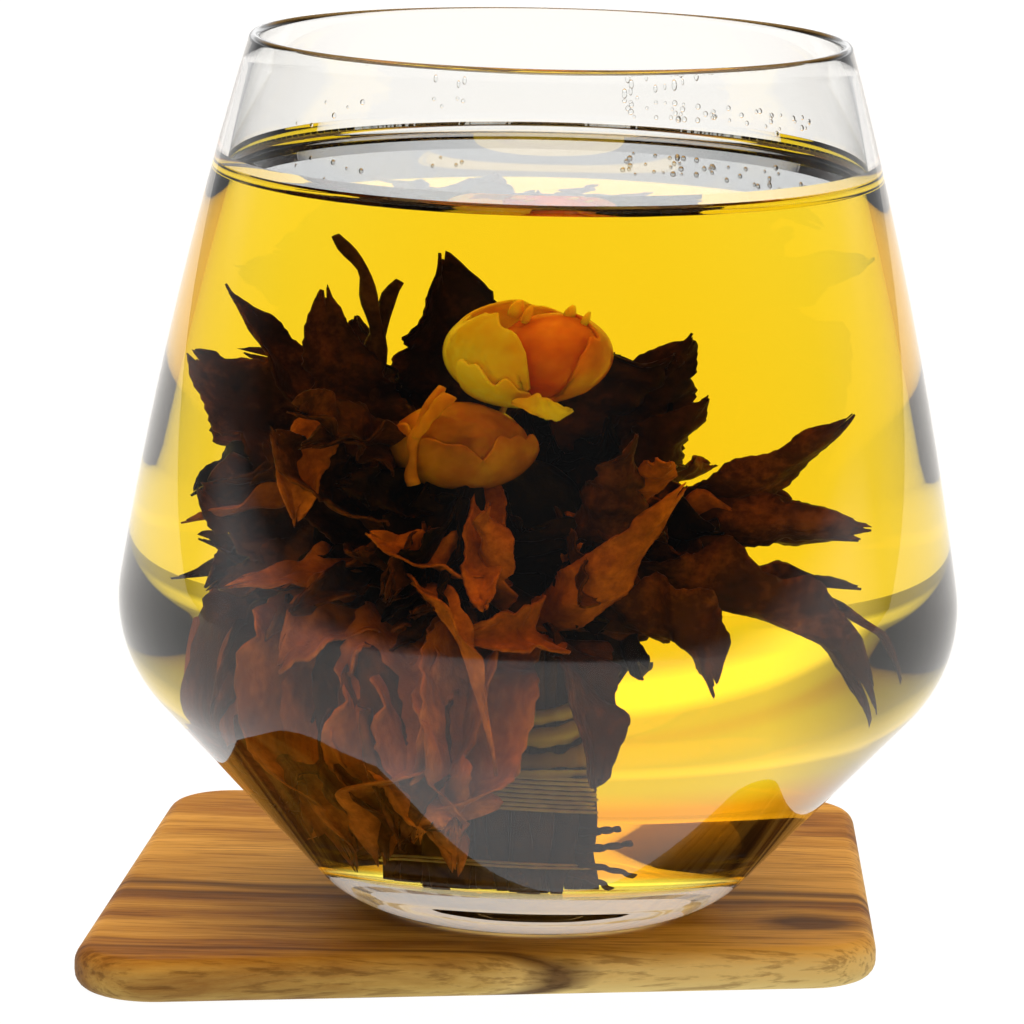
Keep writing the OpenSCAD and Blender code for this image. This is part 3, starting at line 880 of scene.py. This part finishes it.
def coaster_outline(inset, per_corner=14, per_side=12):
    """The hand-cut outline, drawn in by inset metres from the coaster's side."""
    centres = [np.array(c) * MM for c in CORNERS]
    turns = []
    for k in range(4):
        side = centres[(k + 1) % 4] - centres[k]
        turns.append(math.atan2(-side[0], side[1]))
    points = []
    for k in range(4):
        before = turns[k - 1]
        after = turns[k]
        while after < before:
            after += 2 * math.pi
        r = max(CORNER_R - inset, 0.0)
        middle = sum(centres) / 4
        centre = centres[k]
        if inset > CORNER_R:
            centre = centre + (middle - centre) * (inset - CORNER_R) / (30 * MM)
            r = 0.4 * MM
        for j in range(per_corner + 1):
            a = before + (after - before) * j / per_corner
            points.append(centre + r * np.array([math.cos(a), math.sin(a)]))
    smooth = []
    n = per_corner + 1
    for k in range(4):
        smooth += points[k * n:(k + 1) * n]
        start, stop = points[(k + 1) * n - 1], points[((k + 1) * n) % len(points)]
        smooth += [start + (stop - start) * j / per_side for j in range(1, per_side)]
    return smooth


def build_coaster():
    thick, e = COASTER_HI.z, EDGE_ROUND
    rings = [(20 * MM, 0.0), (12 * MM, 0.0)]
    rings += [(e - e * math.sin(a), e - e * math.cos(a)) for a in np.linspace(0, math.pi / 2, 7)]
    rings += [(e - e * math.cos(a), thick - e + e * math.sin(a)) for a in np.linspace(0, math.pi / 2, 7)]
    rings += [(inset * MM, thick) for inset in (5, 8, 12, 18, 25, 32)]
    verts, faces = [], []
    for inset, z in rings:
        verts += [(x, y, z) for x, y in coaster_outline(inset)]
    n = len(verts) // len(rings)
    for j in range(len(rings) - 1):
        for k in range(n):
            m = (k + 1) % n
            faces.append((j * n + k, j * n + m, (j + 1) * n + m, (j + 1) * n + k))
    faces.append(tuple(range(n - 1, -1, -1)))
    faces.append(tuple((len(rings) - 1) * n + k for k in range(n)))
    obj = new_object("wood_coaster", verts, faces)
    obj.data.materials.append(wood_material())
    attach(obj, "coaster")
    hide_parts("coaster")


KNOT = (0.033, -0.005, 0.005)
STREAKS = ((0.0095, 0.0022), (0.0050, 0.0016), (-0.022, 0.0009))     # y and half width of each dark streak


def wood_material():
    """Oiled hardwood: grain along X, two long dark streaks, a knot and darker pores."""
    mat, tree, bsdf = material("wood_grain")
    link = tree.links.new
    coords = add(tree, "ShaderNodeTexCoord")
    warp = add(tree, "ShaderNodeTexNoise", Scale=14.0, Detail=3.0)
    link(coords.outputs["Object"], warp.inputs["Vector"])
    bend = add(tree, "ShaderNodeVectorMath", operation="MULTIPLY_ADD")
    bend.inputs[1].default_value = (0.0, 0.010, 0.006)
    link(warp.outputs["Color"], bend.inputs[0])
    link(coords.outputs["Object"], bend.inputs[2])

    def stretched(scale, size, detail, rough=0.6):
        mapping = add(tree, "ShaderNodeMapping")
        mapping.inputs["Scale"].default_value = scale
        link(bend.outputs[0], mapping.inputs["Vector"])
        tex = add(tree, "ShaderNodeTexNoise", Scale=size, Detail=detail, Roughness=rough)
        link(mapping.outputs[0], tex.inputs["Vector"])
        return tex.outputs["Fac"]

    grain = stretched((0.12, 1.0, 1.0), 150.0, 8.0, 0.66)
    pores = stretched((0.05, 1.0, 1.0), 1400.0, 4.0)
    bands = stretched((0.16, 1.0, 1.0), 42.0, 4.0)

    def math_node(op, a, b):
        node = add(tree, "ShaderNodeMath", operation=op)
        for k, value in enumerate((a, b)):
            if isinstance(value, (int, float)):
                node.inputs[k].default_value = value
            else:
                link(value, node.inputs[k])
        return node.outputs[0]

    tone = math_node("ADD", math_node("MULTIPLY", grain, 0.45), math_node("MULTIPLY", bands, 0.60))
    colours = ramp(tree, [
        (0.36, (0.13, 0.055, 0.013)),
        (0.45, (0.29, 0.155, 0.035)),
        (0.53, (0.48, 0.32, 0.085)),
        (0.62, (0.68, 0.50, 0.18)),
    ])
    link(tone, colours.inputs["Fac"])
    split = add(tree, "ShaderNodeSeparateXYZ")
    link(bend.outputs[0], split.inputs[0])

    def streak(y, width):
        away = math_node("ABSOLUTE", math_node("SUBTRACT", split.outputs["Y"], y), 0)
        return math_node("SUBTRACT", 1.0, math_node("DIVIDE", away, width))

    marks = ramp(tree, [(0.0, (0, 0, 0)), (1.0, (1, 1, 1))])
    lines = streak(*STREAKS[0])
    for place_y, width in STREAKS[1:]:
        lines = math_node("MAXIMUM", lines, streak(place_y, width))
    link(math_node("MULTIPLY", lines, math_node("MULTIPLY", grain, 1.9)), marks.inputs["Fac"])
    knot_at = add(tree, "ShaderNodeVectorMath", operation="SUBTRACT")
    knot_at.inputs[1].default_value = KNOT
    link(bend.outputs[0], knot_at.inputs[0])
    knot_shape = add(tree, "ShaderNodeVectorMath", operation="MULTIPLY")
    knot_shape.inputs[1].default_value = (150.0, 260.0, 60.0)
    link(knot_at.outputs[0], knot_shape.inputs[0])
    knot_far = add(tree, "ShaderNodeVectorMath", operation="LENGTH")
    link(knot_shape.outputs[0], knot_far.inputs[0])
    knot = math_node("SUBTRACT", math_node("MULTIPLY", grain, 2.2), knot_far.outputs["Value"])
    knot_ramp = ramp(tree, [(0.0, (0, 0, 0)), (0.6, (1, 1, 1))])
    link(knot, knot_ramp.inputs["Fac"])
    dark = math_node("MAXIMUM", marks.outputs["Color"], knot_ramp.outputs["Color"])
    mix = add(tree, "ShaderNodeMix", data_type="RGBA")
    link(math_node("MULTIPLY", dark, 0.85), mix.inputs["Factor"])
    link(colours.outputs["Color"], mix.inputs["A"])
    mix.inputs["B"].default_value = (0.075, 0.028, 0.012, 1)
    pore_mix = add(tree, "ShaderNodeMix", data_type="RGBA", blend_type="MULTIPLY")
    pore_ramp = ramp(tree, [(0.36, (0.45, 0.38, 0.33)), (0.50, (1, 1, 1))])
    link(pores, pore_ramp.inputs["Fac"])
    pore_mix.inputs["Factor"].default_value = 0.7
    link(mix.outputs["Result"], pore_mix.inputs["A"])
    link(pore_ramp.outputs["Color"], pore_mix.inputs["B"])
    link(pore_mix.outputs["Result"], bsdf.inputs["Base Color"])
    bsdf.inputs["Roughness"].default_value = 0.6
    bsdf.inputs["IOR"].default_value = 1.22
    bump = add(tree, "ShaderNodeBump", Strength=0.35, Distance=0.0003)
    link(math_node("ADD", pores, math_node("MULTIPLY", grain, 0.6)), bump.inputs["Height"])
    link(bump.outputs["Normal"], bsdf.inputs["Normal"])
    return mat


def main():
    build_coaster()
    inner = build_tumbler()
    build_tea(inner)
    build_droplets(inner)
    build_bundle()
    build_threads()
    # the heart takes the shaded copy of the leaf colour: painted shade
    lump("heart_mass", (-4, 0, 42), (9.3, 9.3, 10.8), 0.16, 1, LEAF_SHADED, "bloom_heart")
    build_leaves()
    build_inner_leaves()
    build_wild_leaves()
    build_hanging_leaves()
    build_flower()
    build_loose()


main()

# ---------------------------------------------------------------- floor, camera and light
def plain(name, colour, glow):
    mat, tree, bsdf = material(name)
    bsdf.inputs["Base Color"].default_value = (*colour, 1)
    bsdf.inputs["Roughness"].default_value = 0.9
    bsdf.inputs["Emission Color"].default_value = (1, 1, 1, 1)
    bsdf.inputs["Emission Strength"].default_value = glow
    return mat


floor = new_object("floor", [(-3, -3, 0), (3, -3, 0), (3, 3, 0), (-3, 3, 0)], [(0, 1, 2, 3)], False)
floor.data.materials.append(plain("floor_white", (0.05, 0.07, 0.12), 0.98))

CAM_BACK = 0.74                            # level distance from the glass axis
CAM_HEIGHT = FLOOR_Z + 0.180
CAM_AIM = Vector((-0.0033, 0, FLOOR_Z + 0.0468))
CAM_ROLL = math.radians(1.3)
FOCAL = 6380 / 1024                        # focal length over frame width
cam_data = bpy.data.cameras.new("camera")
cam = bpy.data.objects.new("camera", cam_data)
bpy.context.scene.collection.objects.link(cam)
cam.location = Vector((CAM_AIM.x, -CAM_BACK, CAM_HEIGHT))
look = (CAM_AIM - cam.location).to_track_quat("-Z", "Y")
cam.rotation_euler = (look @ Quaternion((0, 0, 1), CAM_ROLL)).to_euler()
cam_data.sensor_width = 36
cam_data.lens = 36 * FOCAL
bpy.context.scene.camera = cam

world = bpy.data.worlds.new("studio")
bpy.context.scene.world = world
bpy.context.scene.view_settings.view_transform = "Standard"
world.use_nodes = True
sky = world.node_tree
sky.nodes["Background"].inputs["Color"].default_value = (1, 1, 1, 1)
sky_way = sky.nodes.new("ShaderNodeTexCoord")
sky_split = sky.nodes.new("ShaderNodeSeparateXYZ")
sky.links.new(sky_way.outputs["Generated"], sky_split.inputs[0])


def slope(axis, start, stop, low, high):
    """World brightness that runs from low to high as the direction's axis part runs from start to stop."""
    node = sky.nodes.new("ShaderNodeMapRange")
    for key, value in (("From Min", start), ("From Max", stop), ("To Min", low), ("To Max", high)):
        node.inputs[key].default_value = value
    sky.links.new(sky_split.outputs[axis], node.inputs["Value"])
    return node.outputs[0]


def combine(op, a, b):
    node = sky.nodes.new("ShaderNodeMath")
    node.operation = op
    sky.links.new(a, node.inputs[0])
    sky.links.new(b, node.inputs[1])
    return node.outputs[0]


backdrop = slope("Y", 0.05, 0.75, 0.10, 1.0)           # bright behind the glass, dim on the viewer's side
overhead = slope("Z", 0.46, 0.74, 0.0, 2.0)            # a soft box above
strip = combine("MULTIPLY", slope("Z", 0.06, 0.10, 0.0, 0.75), slope("Z", 0.16, 0.20, 1.0, 0.0))
strip = combine("MULTIPLY", strip, slope("Y", 0.4, 0.9, 0.0, 1.0))   # a long light low behind the glass
left_card = slope("X", -0.55, -0.30, 0.35, 1.0)         # dark cards on both sides, level with the glass
right_card = slope("X", 0.30, 0.55, 1.0, 0.45)
backdrop = combine("MULTIPLY", backdrop, combine("MULTIPLY", left_card, right_card))
horizon = combine("MULTIPLY", slope("Z", 0.05, 0.09, 1.0, 0.0), slope("Y", 0.1, 0.4, 1.0, 0.0))   # pale walls
total = combine("ADD", combine("ADD", combine("MAXIMUM", backdrop, horizon), overhead), strip)
warmth = sky.nodes.new("ShaderNodeMix")                # the light is warmer higher up
warmth.data_type = "RGBA"
warmth.inputs["A"].default_value = (1, 1, 1, 1)
warmth.inputs["B"].default_value = (1.0, 0.60, 0.22, 1)
sky.links.new(slope("Z", 0.24, 0.36, 0.0, 1.0), warmth.inputs["Factor"])
sky.links.new(warmth.outputs["Result"], sky.nodes["Background"].inputs["Color"])
sky.links.new(total, sky.nodes["Background"].inputs["Strength"])
